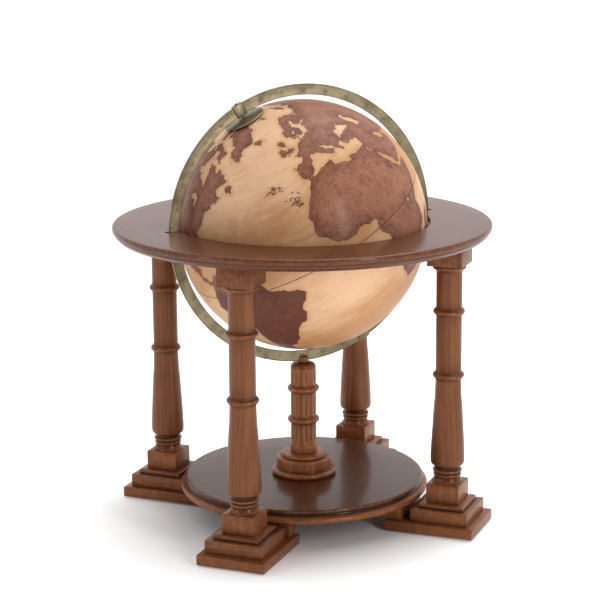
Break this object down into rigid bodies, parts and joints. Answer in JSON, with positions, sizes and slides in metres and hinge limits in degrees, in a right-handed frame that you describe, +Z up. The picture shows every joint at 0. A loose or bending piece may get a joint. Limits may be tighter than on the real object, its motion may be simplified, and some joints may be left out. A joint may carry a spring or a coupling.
{
  "type": "globe on stand",
  "caption": "Terrestrial globe that turns in a brass meridian ring, carried by a round wooden horizon ring on turned posts with a round shelf below.",
  "frame": {"origin": "on the floor, under the globe's centre", "axes": "+Z up; the meridian ring stands in the XZ plane with the north pole leaning towards -X; the posts stand on the diagonals between X and Y"},
  "size_m": [0.607, 0.607, 0.7056],
  "materials": {
    "walnut": "satin walnut stain with a clear varnish",
    "aged_brass": "aged, lightly tarnished, engraved degree scale",
    "steel": "plain zinc-plated fasteners",
    "globe_paper": "antique printed map on pasteboard under satin varnish",
    "band_card": "raw card",
    "felt": "green felt",
    "dowel_beech": "unfinished beech"
  },
  "bodies": {
    "stand": {"horizon_ring": "walnut", "post_1": "walnut", "post_2": "walnut", "post_3": "walnut", "post_4": "walnut", "foot_plinth_1": "walnut", "foot_plinth_2": "walnut", "foot_plinth_3": "walnut", "foot_plinth_4": "walnut", "foot_slab_1": "walnut", "foot_slab_2": "walnut", "foot_slab_3": "walnut", "foot_slab_4": "walnut", "shelf_pad_1": "walnut", "shelf_pad_2": "walnut", "shelf_pad_3": "walnut", "shelf_pad_4": "walnut", "felt_pad_1": "felt", "felt_pad_2": "felt", "felt_pad_3": "felt", "felt_pad_4": "felt", "felt_pad_5": "felt", "felt_pad_6": "felt", "felt_pad_7": "felt", "felt_pad_8": "felt", "ring_dowel_1": "dowel_beech", "ring_dowel_2": "dowel_beech", "ring_dowel_3": "dowel_beech", "ring_dowel_4": "dowel_beech", "post_bolt_1": "steel", "post_bolt_2": "steel", "post_bolt_3": "steel", "post_bolt_4": "steel", "shelf_screw_1": "steel", "shelf_screw_2": "steel", "shelf_screw_3": "steel", "shelf_screw_4": "steel", "shelf": "walnut", "centre_base": "walnut", "centre_column": "walnut", "saddle_cap": "walnut", "saddle_felt": "felt", "centre_bolt": "steel", "centre_washer": "steel"},
    "meridian": {"meridian_ring": "aged_brass", "pole_clip_north": "aged_brass", "pole_clip_south": "aged_brass", "pole_pin_north": "aged_brass", "pole_pin_south": "aged_brass"},
    "globe": {"globe_north_half": "globe_paper", "globe_south_half": "globe_paper", "equator_band": "band_card", "pole_bush_north": "aged_brass", "pole_bush_south": "aged_brass"},
    "dial": {"hour_dial": "aged_brass"}
  },
  "joints": [
    {"name": "meridian_tilt", "type": "hinge", "parent": "stand", "child": "meridian", "pos_m": [0, 0, 0.48], "axis": [0, -1, 0], "range_deg": [-20, 45]},
    {"name": "globe_spin", "type": "hinge", "parent": "meridian", "child": "globe", "pos_m": [0, 0, 0.48], "axis": [-0.4848, 0, 0.8746], "continuous": true},
    {"name": "dial_turn", "type": "hinge", "parent": "meridian", "child": "dial", "pos_m": [0, 0, 0.48], "axis": [-0.4848, 0, 0.8746], "continuous": true}
  ]
}
